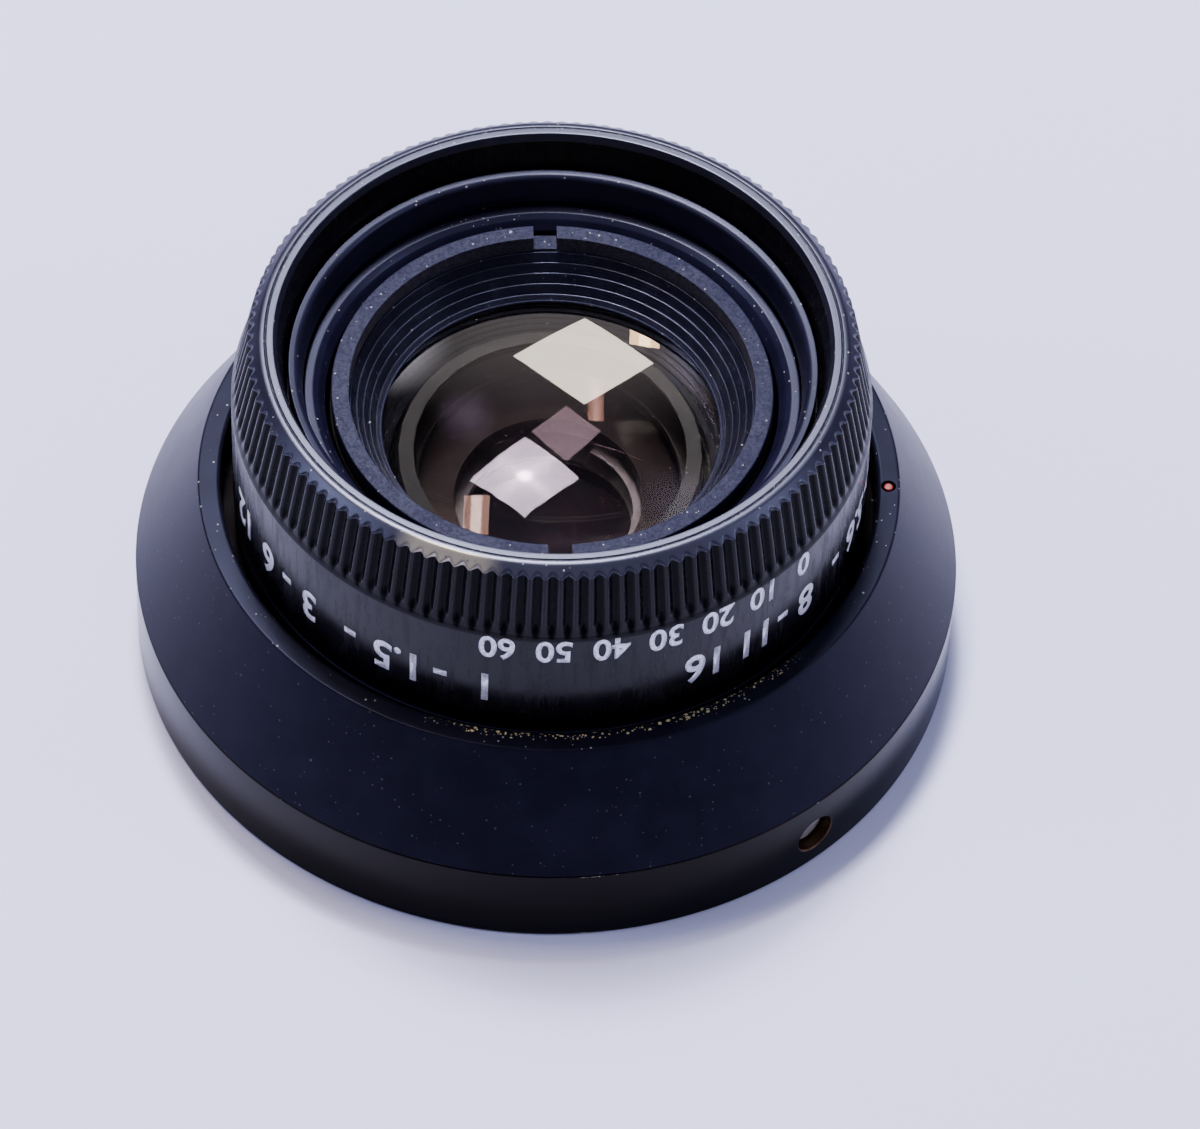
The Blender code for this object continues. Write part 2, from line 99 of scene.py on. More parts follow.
# Colours of the blackened metal's gloss and of the dust
COOL_GLOSS = (0.72, 0.75, 1.0)
DUST_GREY = (0.36, 0.35, 0.35, 1)


# ---------------------------------------------------------------- meshes

def rounded(corners, closed=True):
    """Profile (r, z, wear_and_shade) from corners (r, z) or (r, z, radius), each rounded by an
    arc.

    Wear_and_shade is 1 on a convex edge, where the finish wears, and -1 in a concave one, where
    dust gathers and the gloss is turned down as painted shade; it is 0 on the flats between
    them."""
    points = []
    count = len(corners)
    for i, corner in enumerate(corners):
        here = Vector(corner[:2])
        if not closed and i in (0, count - 1):
            points.append((*here, 0.0))
            continue
        back = Vector(corners[i - 1][:2]) - here
        ahead = Vector(corners[(i + 1) % count][:2]) - here
        half = back.angle(ahead) / 2
        radius = corner[2] if len(corner) > 2 else EDGE
        room = 0.45 * min(back.length, ahead.length)
        reach = min(radius / math.tan(half), room)
        radius = reach * math.tan(half)
        back_way, ahead_way = back.normalized(), ahead.normalized()
        centre = here + (back_way + ahead_way).normalized() * radius / math.sin(half)
        sign = -1.0 if back_way.cross(ahead_way) < 0 else 1.0
        support = min(SUPPORT, 0.5 * min(back.length, ahead.length) - reach)
        start, end = here + back_way * reach, here + ahead_way * reach
        points.append((*(start + back_way * support), 0.0))
        for k in range(ARC_STEPS + 1):
            way = (start - centre).lerp(end - centre, k / ARC_STEPS).normalized()
            points.append((*(centre + way * radius), sign))
        points.append((*(end + ahead_way * support), 0.0))
    return points


def lattice(name, grid, wear_and_shade, closed=True, zones=None):
    """Mesh from points [turn, profile] in millimetres, joined round the turn."""
    turns, count = grid.shape[:2]
    index = np.arange(turns * count).reshape(turns, count)
    after = np.roll(index, -1, axis=0)
    last = count if closed else count - 1
    here, ahead = np.arange(last), (np.arange(last) + 1) % count
    faces = np.stack([index[:, here], index[:, ahead], after[:, ahead], after[:, here]], axis=-1)
    mesh = bpy.data.meshes.new(name)
    mesh.from_pydata((grid.reshape(-1, 3) * MM).tolist(), [], faces.reshape(-1, 4).tolist())
    mesh.attributes.new("wear_and_shade", "FLOAT", "POINT").data.foreach_set(
        "value", wear_and_shade.reshape(-1).astype(np.float32))
    if zones is not None:
        mesh.polygons.foreach_set("material_index", np.tile(zones[:last], turns))
    if not closed:
        bm = bmesh.new()
        bm.from_mesh(mesh)
        bmesh.ops.remove_doubles(bm, verts=bm.verts, dist=1e-7)
        bm.to_mesh(mesh)
        bm.free()
    mesh.shade_smooth()
    return mesh


def turned_mesh(name, profile, closed=True, zones=None, segments=ROUND):
    """Mesh of a profile (r, z, wear) turned about the optical axis."""
    profile = np.array(profile)
    angle = np.arange(segments)[:, None] * 2 * math.pi / segments
    r, z = profile[:, 0], np.broadcast_to(profile[:, 1], (segments, len(profile)))
    grid = np.stack([r * np.cos(angle), r * np.sin(angle), z], axis=-1)
    wear_and_shade = np.broadcast_to(profile[:, 2], (segments, len(profile)))
    return lattice(name, grid, wear_and_shade, closed, zones)


def piece(name, mesh, materials, body, *nodes, slot=None):
    """Link a mesh as a piece that rides on a body and stands for CAD nodes."""
    obj = bpy.data.objects.new(name, mesh)
    bpy.context.scene.collection.objects.link(obj)
    for material in materials:
        mesh.materials.append(material)
    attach(obj, body)
    if nodes:
        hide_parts(*nodes)
    return obj


def cut(obj, cutters):
    """Cut helper meshes out of a piece and keep the result as its mesh."""
    tools = []
    for mesh in cutters:
        tool = bpy.data.objects.new("cutter", mesh)
        bpy.context.scene.collection.objects.link(tool)
        modifier = obj.modifiers.new("cut", "BOOLEAN")
        modifier.solver = "EXACT"
        modifier.object = tool
        tools.append(tool)
    graph = bpy.context.evaluated_depsgraph_get()
    result = bpy.data.meshes.new_from_object(obj.evaluated_get(graph))
    result.set_sharp_from_angle(angle=math.radians(40))
    obj.modifiers.clear()
    obj.data = result
    for tool in tools:
        bpy.data.objects.remove(tool, do_unlink=True)


def rod_mesh(radius, start, end, tip=None):
    """Cylinder, or cone with a tip radius, between two points in millimetres."""
    axis = end - start
    turn = axis.to_track_quat("Z", "Y").to_matrix().to_4x4()
    mesh = bpy.data.meshes.new("rod")
    bm = bmesh.new()
    bmesh.ops.create_cone(bm, cap_ends=True, segments=ROD_FACETS, radius1=radius * MM,
                          radius2=(radius if tip is None else tip) * MM,
                          depth=axis.length * MM,
                          matrix=Matrix.Translation((start + end) * MM / 2) @ turn)
    bm.to_mesh(mesh)
    bm.free()
    return mesh


def block_mesh(size, at):
    """Box of a size, centred at a point, both in millimetres."""
    mesh = bpy.data.meshes.new("block")
    bm = bmesh.new()
    bmesh.ops.create_cube(bm, size=1.0, matrix=Matrix.Translation(at * MM)
                          @ Matrix.Diagonal((*(Vector(size) * MM), 1.0)))
    bm.to_mesh(mesh)
    bm.free()
    return mesh


def notch_blocks(size, radius, height):
    """Two blocks on opposite sides of the axis, to cut notches for a spanner."""
    return [block_mesh(size, Vector((0, side * radius, height))) for side in (-1, 1)]


def soften(obj, width, segments):
    """Bevel a piece's sharp edges; the width is in millimetres."""
    bevel = obj.modifiers.new("edges", "BEVEL")
    bevel.width = width * MM
    bevel.segments = segments
    bevel.limit_method = "ANGLE"


def polar(radius, azimuth, height=0.0):
    """Point at a radius and azimuth about the optical axis."""
    return Vector((radius * math.cos(azimuth), radius * math.sin(azimuth), height))


# ------------------------------------------------------------- materials

class Graph:
    """Small helper that adds shader nodes to a material or world."""

    def __init__(self, tree):
        self.tree = tree

    def add(self, kind, inputs=(), **settings):
        """Add a node, set its properties, and set or link its inputs."""
        node = self.tree.nodes.new("ShaderNode" + kind)
        for key, value in settings.items():
            setattr(node, key, value)
        for key, value in dict(inputs).items():
            if isinstance(value, bpy.types.NodeSocket):
                self.tree.links.new(value, node.inputs[key])
            else:
                node.inputs[key].default_value = value
        return node

    def maths(self, operation, a, b=0.0, clamp=False):
        """Math node's result."""
        node = self.add("Math", {0: a, 1: b}, operation=operation, use_clamp=clamp)
        return node.outputs[0]

    def span(self, value, low, high, to_low=0.0, to_high=1.0):
        """Map a value's span onto another, clamped and smoothed."""
        node = self.add("MapRange", {"Value": value, "From Min": low, "From Max": high,
                                     "To Min": to_low, "To Max": to_high},
                        interpolation_type="SMOOTHSTEP")
        return node.outputs["Result"]

    def mix(self, factor, a, b):
        """Mix two colours."""
        node = self.add("Mix", {"Factor": factor, 6: a, 7: b}, data_type="RGBA")
        return node.outputs[2]

    def noise(self, vector, scale, detail=3.0, dimensions="3D", roughness=0.5):
        """Noise value at a vector, or at a number in one dimension."""
        inputs = {"Scale": scale, "Detail": detail, "Roughness": roughness}
        inputs["W" if dimensions == "1D" else "Vector"] = vector
        return self.add("TexNoise", inputs, noise_dimensions=dimensions).outputs["Fac"]

    def position(self):
        """Position in millimetres, with the radius, azimuth and height from it."""
        at = self.add("TexCoord").outputs["Object"]
        scaled = self.add("VectorMath", {0: at, 1: (1000, 1000, 1000)}, operation="MULTIPLY")
        xyz = self.add("SeparateXYZ", {0: scaled.outputs[0]}).outputs
        radius = self.maths("SQRT", self.maths("ADD", self.maths("MULTIPLY", xyz[0], xyz[0]),
                                               self.maths("MULTIPLY", xyz[1], xyz[1])))
        azimuth = self.maths("ARCTAN2", xyz[1], xyz[0])
        return scaled.outputs[0], radius, azimuth, xyz[2]

    def specks(self, vector, scale, size, share):
        """Round specks up to a size, of which a share of the noise's cells holds one."""
        cell = self.add("TexVoronoi", {"Vector": vector, "Scale": scale})
        random = self.add("SeparateColor", {0: cell.outputs["Color"]}).outputs
        wide = self.maths("MULTIPLY", random[1], size)
        inside = self.maths("LESS_THAN", cell.outputs["Distance"], wide)
        return self.maths("MULTIPLY", inside, self.maths("LESS_THAN", random[0], share))


def new_material(name):
    """Empty material with a graph helper and its output node."""
    material = bpy.data.materials.new(name)
    material.use_nodes = True
    material.node_tree.nodes.clear()
    graph = Graph(material.node_tree)
    return material, graph, graph.add("OutputMaterial")


def bare_metal(g, place, wear_and_shade, blotches, worn, rubbed):
    """Share of bare metal: worn convex edges, scuffs, and a patch rubbed at one azimuth."""
    at, radius, azimuth, _ = place
    patch = g.maths("ADD", g.noise(at, 0.13, 2.0), g.maths("MULTIPLY", blotches, 0.5))
    edge = g.span(g.maths("MULTIPLY", wear_and_shade, patch), 1.02 - worn, 1.16 - worn)
    scuffs = g.span(g.noise(at, 9.0, 4.0, roughness=0.7), 0.66, 0.74, 0.0, worn)
    share = g.maths("MAXIMUM", edge, g.maths("MULTIPLY", scuffs, g.span(wear_and_shade, 0.3, 0.9)))
    if rubbed:
        middle, half_width, inner = rubbed
        away = g.maths("ABSOLUTE", g.maths("SUBTRACT", azimuth, middle))
        spot = g.maths("MULTIPLY", g.span(away, half_width, half_width * 0.3),
                       g.span(blotches, 0.2, 0.4))
        spot = g.maths("MULTIPLY", spot, g.maths("GREATER_THAN", radius, inner))
        share = g.maths("MAXIMUM", share, spot)
    return share


def dust_share(g, at, wear_and_shade, dust, crevice):
    """Share of dust: specks on faces that look up, and dust held in concave edges."""
    up = g.add("SeparateXYZ", {0: g.add("NewGeometry").outputs["Normal"]}).outputs[2]
    level = g.span(up, 0.35, 0.9)
    fine = g.specks(at, 3.2, 0.26, dust * 0.35)
    coarse = g.specks(at, 0.9, 0.1, dust * 0.4)
    loose = g.maths("MULTIPLY", g.maths("MAXIMUM", fine, coarse), level)
    held = g.maths("MULTIPLY", g.span(wear_and_shade, -0.25, -0.9),
                   g.span(g.noise(at, 3.2, 5.0, roughness=0.8), 0.62 - 0.25 * crevice, 0.8))
    return g.maths("MAXIMUM", loose, g.maths("MULTIPLY", held, crevice), clamp=True)


def crumbs_share(g, place, inner, outer, share):
    """Share of dirt crumbs between two radii, at the front of the lens."""
    at, radius, azimuth, _ = place
    front, reach, full = math.radians(-75), 0.62, 0.45       # angles in radians
    crumbs = g.maths("MAXIMUM", g.specks(at, 3.4, 0.5, share), g.specks(at, 6.0, 0.5, share))
    away = g.maths("ABSOLUTE", g.maths("ADD", azimuth, -front))
    between = g.maths("MULTIPLY", g.maths("GREATER_THAN", radius, inner),
                      g.maths("LESS_THAN", radius, outer))
    return g.maths("MULTIPLY", crumbs, g.maths("MULTIPLY", g.span(away, reach, full), between))


def black_finish(name, colour, roughness, ior=1.5, turning=0.25, grain=0.0,
                 bare=(0.5, 0.46, 0.38), worn=0.5, dust=0.4, crevice=0.6, haze=0.25,
                 streaks=0.0, dirt=None, rubbed=None, tint=(1.0, 1.0, 1.0), line_scale=14.0):
    """Black paint or anodising on turned metal, with painted shade: it shines less in sunk
    places.

    turning: depth of the fine lathe lines; line_scale: how close they are; grain: depth of a
    sand-blasted texture; bare: the metal's colour; worn: how far the convex edges are rubbed
    to it; dust: specks on faces that look up; crevice: dust held in concave edges; haze: how
    far smears dull it; streaks: how far upright streaks do; dirt: (colour, inner, outer,
    share) for crumbs between two radii at the front; rubbed: (azimuth, half width, inner
    radius) of a patch worn to bare metal; tint: colour of the gloss."""
    material, g, output = new_material(name)
    place = g.position()
    at, radius, azimuth, height = place
    wear_and_shade = g.add("Attribute", attribute_name="wear_and_shade").outputs["Fac"]
    along = g.maths("ADD", g.maths("MULTIPLY", radius, 0.83), height)
    lines = g.noise(along, line_scale, 4.0, "1D", 0.75)
    smears = g.noise(at, 0.35, 5.0)
    blotches = g.noise(at, 2.6, 4.0)
    bare_part = bare_metal(g, place, wear_and_shade, blotches, worn, rubbed)
    specks = dust_share(g, at, wear_and_shade, dust, crevice)

    tone = g.mix(g.span(smears, 0.35, 0.7, 0.0, 0.6), (*colour, 1),
                 (*[c * 1.6 + 0.0005 for c in colour], 1))
    tone = g.mix(g.maths("MULTIPLY", bare_part, 0.8), tone, (*bare, 1))
    tone = g.mix(g.maths("MULTIPLY", specks, 0.75), tone, DUST_GREY)
    if dirt:
        shade, inner, outer, share = dirt
        tone = g.mix(crumbs_share(g, place, inner, outer, share), tone, (*shade, 1))
    rough = g.maths("ADD", g.span(smears, 0.3, 0.75, roughness, roughness + haze * 0.35),
                    g.span(lines, 0.3, 0.7, -0.05 * turning, 0.12 * turning))
    if streaks:
        combed = g.add("CombineXYZ", {0: g.maths("MULTIPLY", azimuth, 30.0),
                                      1: g.maths("MULTIPLY", height, 0.15)}).outputs[0]
        strip = g.noise(combed, 1.0, 4.0, roughness=0.7)
        rough = g.maths("ADD", rough, g.span(strip, 0.4, 0.7, 0.0, streaks))
    rough = g.maths("ADD", rough, g.maths("MULTIPLY", specks, 0.4), clamp=True)
    relief = g.maths("MULTIPLY", lines, turning)
    # painted shade: the gloss is turned down in concave edges and knurl grooves, where shade
    # falls
    gloss_with_painted_shade = g.span(wear_and_shade, -0.8, -0.1, 0.15, 0.5)
    if grain:
        tone = g.mix(g.span(g.noise(at, 5.0, 3.0, roughness=0.8), 0.5, 0.75, 0.0, 0.6), tone,
                     (*[c * 2.6 + 0.01 for c in colour], 1))
        blast = g.noise(at, 6.5, 3.0, roughness=0.7)
        relief = g.maths("ADD", relief, g.maths("MULTIPLY", blast, grain))
        fleck = g.span(g.noise(at, 4.5, 3.0, roughness=0.8), 0.36, 0.64, 0.55, 1.5)
        gloss_with_painted_shade = g.maths("MULTIPLY", gloss_with_painted_shade, fleck)
    relief = g.maths("ADD", relief, g.maths("MULTIPLY", specks, 1.2))
    bump = g.add("Bump", {"Height": relief, "Strength": 0.35, "Distance": 0.00003})
    shader = g.add("BsdfPrincipled", {
        "Base Color": tone, "Roughness": rough, "IOR": ior,
        "Metallic": g.maths("MULTIPLY", bare_part, 0.9),
        "Specular IOR Level": gloss_with_painted_shade, "Specular Tint": (*tint, 1),
        "Normal": bump.outputs[0]})
    g.tree.links.new(shader.outputs[0], output.inputs[0])
    return material


def metal_finish(name, colour, roughness, stain=(0.1, 0.07, 0.04)):
    """Bare metal with fine turning lines and dull stains."""
    material, g, output = new_material(name)
    at, radius, _, height = g.position()
    lines = g.noise(g.maths("ADD", radius, height), 18.0, 4.0, "1D", 0.8)
    patches = g.span(g.noise(at, 1.1, 5.0, roughness=0.7), 0.45, 0.7, 0.0, 0.4)
    tone = g.mix(patches, (*colour, 1), (*stain, 1))
    rough = g.maths("ADD", g.span(lines, 0.3, 0.7, roughness, roughness + 0.12),
                    g.maths("MULTIPLY", patches, 0.3), clamp=True)
    bump = g.add("Bump", {"Height": lines, "Strength": 0.3, "Distance": 0.00002})
    shader = g.add("BsdfPrincipled", {"Base Color": tone, "Roughness": rough, "Metallic": 1.0,
                                      "Normal": bump.outputs[0]})
    g.tree.links.new(shader.outputs[0], output.inputs[0])
    return material


def numeral_finish():
    """White numbers, slightly patchy and with a metallic shine."""
    material, g, output = new_material("numeral_white")
    at = g.position()[0]
    patches = g.noise(at, 5.0, 5.0, roughness=0.7)
    tone = g.mix(g.span(patches, 0.4, 0.7), (0.72, 0.72, 0.76, 1), (0.42, 0.42, 0.46, 1))
    bump = g.add("Bump", {"Height": g.noise(at, 14.0, 3.0), "Strength": 0.4,
                          "Distance": 0.00002})
    shader = g.add("BsdfPrincipled", {
        "Base Color": tone, "Roughness": g.span(patches, 0.3, 0.7, 0.28, 0.45),
        "Metallic": 0.5, "Normal": bump.outputs[0]})
    g.tree.links.new(shader.outputs[0], output.inputs[0])
    return material


def enamel_finish():
    """Red enamel of the index mark, a little dull and chipped."""
    material, g, output = new_material("index_enamel")
    at = g.position()[0]
    chips = g.span(g.noise(at, 8.0, 4.0), 0.55, 0.65)
    tone = g.mix(chips, (0.3, 0.014, 0.012, 1), (0.12, 0.012, 0.012, 1))
    shader = g.add("BsdfPrincipled", {"Base Color": tone, "Roughness": 0.35,
                                      "Coat Weight": 0.4})
    g.tree.links.new(shader.outputs[0], output.inputs[0])
    return material


def glass_finish(name, tint, gain, clear=(0.98, 0.96, 0.93), let_through=0.72, smudges=0.015):
    """Coated glass: a tinted reflection over clear refraction, with a little dust.

    gain: strength of the reflection beside bare glass; clear: colour of what is seen through
    it; let_through: share of light that passes to what lies below; smudges: roughness of
    wiped places."""
    material, g, output = new_material(name)
    at = g.position()[0]
    wipe = g.noise(at, 0.5, 5.0, roughness=0.7)
    rough = g.span(wipe, 0.45, 0.75, 0.0, smudges)
    share = g.maths("MULTIPLY", g.add("Fresnel", {"IOR": GLASS_IOR}).outputs[0], gain,
                    clamp=True)
    through = g.add("BsdfRefraction", {"Color": (*clear, 1), "IOR": GLASS_IOR,
                                       "Roughness": 0.0})
    mirror = g.add("BsdfGlossy", {"Color": (*tint, 1), "Roughness": rough})
    body = g.add("MixShader", {0: share, 1: through.outputs[0], 2: mirror.outputs[0]})
    dust = g.maths("MULTIPLY", g.specks(at, 1.6, 0.08, 0.25), 0.5)
    speck = g.add("BsdfDiffuse", {"Color": (0.5, 0.5, 0.5, 1)})
    dusty = g.add("MixShader", {0: dust, 1: body.outputs[0], 2: speck.outputs[0]})
    passed = g.add("BsdfTransparent", {"Color": (*[let_through] * 3, 1)})
    shadow = g.add("LightPath").outputs["Is Shadow Ray"]
    whole = g.add("MixShader", {0: shadow, 1: dusty.outputs[0], 2: passed.outputs[0]})
    g.tree.links.new(whole.outputs[0], output.inputs[0])
    return material


def floor_finish():
    """Plain pale ground, faintly blue."""
    material, g, output = new_material("pale_floor")
    at = g.add("TexCoord").outputs["Object"]
    soft = g.noise(at, 9.0, 3.0)
    tone = g.mix(soft, (0.66, 0.665, 0.9, 1), (0.7, 0.705, 0.94, 1))
    shader = g.add("BsdfPrincipled", {"Base Color": tone, "Roughness": 0.9,
                                      "Specular IOR Level": 0.1})
    g.tree.links.new(shader.outputs[0], output.inputs[0])
    return material


FLANGE_BLACK = black_finish("flange_enamel", (0.0008, 0.0006, 0.0012), 0.14, ior=1.15,
                            turning=0.1, dust=0.008, worn=0.1, haze=0.1, crevice=0.3,
                            tint=(1.0, 0.82, 0.72))
LIP_BLACK = black_finish("flange_lip", (0.004, 0.0038, 0.009), 0.3, ior=1.21, turning=0.3,
                         dust=0.5, worn=0.0, haze=0.1, crevice=0.5, tint=(0.62, 0.66, 1.0),
                         dirt=((0.5, 0.42, 0.2), 22.7, 23.6, 0.5))
RING_BLACK = black_finish("ring_anodised", (0.002, 0.0017, 0.003), 0.18, ior=1.23,
                          turning=0.1, streaks=0.16, dust=0.12, worn=0.1, haze=0.1,
                          crevice=0.1)
RIM_BLACK = black_finish("rim_anodised", (0.0045, 0.0042, 0.011), 0.32, ior=1.68, turning=0.3,
                         dust=0.4, worn=0.0, tint=(0.75, 0.78, 1.0), haze=0.1,
                         bare=(0.4, 0.36, 0.28),
                         rubbed=(math.radians(-109), 0.2, RIM_OUTER_R - 0.04))
BEZEL_BLACK, BARREL_BLACK = [
    black_finish(name, (0.0045, 0.0042, 0.013), 0.32, ior=1.33, turning=0.22, dust=0.5,
                 worn=0.05, haze=0.1, tint=COOL_GLOSS)
    for name in ("bezel_anodised", "barrel_anodised")]
BAFFLE_BLACK = black_finish("baffle_matt", (0.003, 0.0034, 0.012), 0.55, ior=1.33, turning=0.0,
                            grain=1.6, dust=0.7, worn=0.1, crevice=0.2, tint=(0.7, 0.71, 1.0))
RIDGE_BLACK = black_finish("baffle_turned", (0.003, 0.003, 0.009), 0.24, ior=1.45, turning=0.15,
                           dust=0.2, worn=0.0, haze=0.1, crevice=0.2, tint=COOL_GLOSS)
CELL_BLACK = black_finish("cell_matt", (0.0022, 0.0018, 0.0017), 0.5, ior=1.2, turning=0.3,
                          dust=0.02, worn=0.0)
SEAT_BLACK = black_finish("seat_turned", (0.002, 0.002, 0.003), 0.2, ior=1.5, turning=0.5,
                          dust=0.0, worn=0.0, haze=0.05, tint=COOL_GLOSS, line_scale=6.0)
LOCK_BLACK = black_finish("lock_ring_brass", (0.02, 0.017, 0.014), 0.4, turning=0.4, worn=0.4,
                          bare=(0.6, 0.42, 0.18))
LACQUER = black_finish("glass_edge_lacquer", (0.0016, 0.0016, 0.002), 0.25, ior=1.5,
                       turning=0.4, dust=0.0, haze=0.05)
HOLE_BROWN = metal_finish("hole_wall", (0.09, 0.05, 0.03), 0.35, stain=(0.02, 0.015, 0.015))
IRIS_BRASS = metal_finish("iris_blackened", (0.008, 0.006, 0.006), 0.5,
                          stain=(0.005, 0.004, 0.004))
BLADE_STEEL = metal_finish("blade_blued", (0.09, 0.08, 0.09), 0.45, stain=(0.06, 0.055, 0.06))
SCREW_STEEL = metal_finish("screw_plain", (0.5, 0.46, 0.4), 0.3)
NUMERAL_WHITE = numeral_finish()
INDEX_RED = enamel_finish()
CREAM_COAT = glass_finish("coated_rear_face", (1.0, 0.9, 0.7), 2.2)
PINK_COAT = glass_finish("coated_front_face", (1.0, 0.78, 0.86), 0.2)
INNER_COAT = glass_finish("coated_inner", (1.0, 0.7, 0.85), 0.45, smudges=0.0)
REAR_COAT = glass_finish("coated_rear_group", (1.0, 0.7, 0.85), 0.1, clear=(0.6, 0.58, 0.62),
                         let_through=0.4, smudges=0.0)


# ---------------------------------------------------------------- pieces

def screw_place():
    """Azimuth, height and radius of the clamp screw, from its CAD box."""
    low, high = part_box("flange_set_screw")
    centre = (low + high) / 2 / MM
    return math.atan2(centre.y, centre.x), centre.z, (high.z - low.z) / 2 / MM


def build_flange():
    """Adapter flange: lip, cone, rim, recess, socket, screw hole and the index mark's dimple."""
    lip_outer, lip_inner, lip_depth = 24.45, 22.9, 0.3
    rim_height, socket_r, socket_top = 6.5, 25.8, 7.0
    bore, recess_floor = 19.8, 11.6
    profile = rounded([
        (lip_outer, FLANGE_TOP, 0.16), (FLANGE_R, rim_height, 0.14),
        (FLANGE_R, FLANGE_BOTTOM, 0.25), (socket_r, FLANGE_BOTTOM, 0.2),
        (socket_r, socket_top), (bore, socket_top), (bore, recess_floor),
        (lip_inner, recess_floor), (lip_inner, FLANGE_TOP, 0.28)])
    zones = np.array([int(z > FLANGE_TOP - lip_depth and r < lip_outer + 0.1)
                      for r, z, _ in profile])
    mesh = turned_mesh("flange_body", profile, zones=zones)
    flange = piece("flange_body", mesh, [FLANGE_BLACK, LIP_BLACK, HOLE_BROWN], "root",
                   "lens_flange", slot="flange_black")
    azimuth, height, screw_r = screw_place()
    hole_r, flare, flare_depth = screw_r + 0.3, 0.25, 0.15
    hole = rod_mesh(hole_r, polar(socket_r - 1, azimuth, height),
                    polar(FLANGE_R + 1, azimuth, height))
    sink = rod_mesh(hole_r - 0.05, polar(FLANGE_R - flare_depth, azimuth, height),
                    polar(FLANGE_R + flare_depth, azimuth, height), tip=hole_r + flare)
    low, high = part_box("index_mark")
    mark = (low + high) / 2 / MM
    dimple_r, dimple_depth = 0.52, 1.3
    dimple = rod_mesh(dimple_r, Vector((mark.x, mark.y, FLANGE_TOP - dimple_depth)),
                      Vector((mark.x, mark.y, FLANGE_TOP + 1)))
    for cutter, material in ((hole, HOLE_BROWN), (sink, HOLE_BROWN), (dimple, FLANGE_BLACK)):
        cutter.materials.append(material)
    cut(flange, [hole, sink, dimple])


def build_set_screw():
    """Grub screw with a slot, sunk below the rim's surface."""
    azimuth, height, radius = screw_place()
    outer, inner = FLANGE_R - 0.9, 25.9
    slot_size, slot_turn = (1.6, 3.4, 0.5), math.radians(35)
    mesh = rod_mesh(radius, polar(inner, azimuth, height), polar(outer, azimuth, height))
    screw = piece("clamp_screw", mesh, [SCREW_STEEL], "root", "flange_set_screw",
                  slot="screw_steel")
    slot = block_mesh(slot_size, Vector((outer, 0, 0)))
    slot.transform(Matrix.Translation((0, 0, height * MM)) @ Matrix.Rotation(azimuth, 4, "Z")
                   @ Matrix.Rotation(slot_turn, 4, "X"))
    cut(screw, [slot])
    soften(screw, 0.1, 2)


def build_barrel():
    """Barrel: thread, shoulder, tube with the chamfered mouth seen as the lower ledge."""
    thread_r, tube_r, bore = 19.5, 17.05, 15.6
    shoulder_top, shoulder_depth, seat_r, seat_height = 13.6, 1.0, 20.6, 11.9
    rear_bore, rear_step = 13.2, 8.7
    shoulder_foot = shoulder_top - shoulder_depth
    mesh = turned_mesh("barrel_body", rounded([
        (tube_r, TUBE_TOP, 0.12), (tube_r, shoulder_top), (SHOULDER_R, shoulder_top),
        (SHOULDER_R, shoulder_foot), (seat_r, shoulder_foot), (seat_r, seat_height),
        (thread_r, seat_height), (thread_r, BARREL_BOTTOM), (rear_bore, BARREL_BOTTOM),
        (rear_bore, rear_step), (bore, rear_step), (bore, TUBE_TOP - 1.0),
        (bore + 0.45, TUBE_TOP - 0.3, 0.5), (bore + 0.8, TUBE_TOP - 0.02, 0.25)]))
    piece("barrel_body", mesh, [BARREL_BLACK], "root", "lens_barrel", slot="barrel_black")


def knurl_columns():
    """Azimuths of the ring's columns, and where each lies in its groove's pitch, from 0 to 1.

    The columns are closer together at the grooves' edges."""
    crest, half_groove = (0.0, 0.08, 0.92), (1.03, 0.985, 0.9, 0.7, 0.38)
    half = GROOVE_SHARE / 2
    shares = sorted([*crest, 0.5, *(0.5 + side * half * part
                                    for side in (-1, 1) for part in half_groove)])
    pitch = 2 * math.pi / GROOVES
    azimuths = [(i + share) * pitch for i in range(GROOVES) for share in shares]
    return np.array(azimuths), np.array(shares * GROOVES)


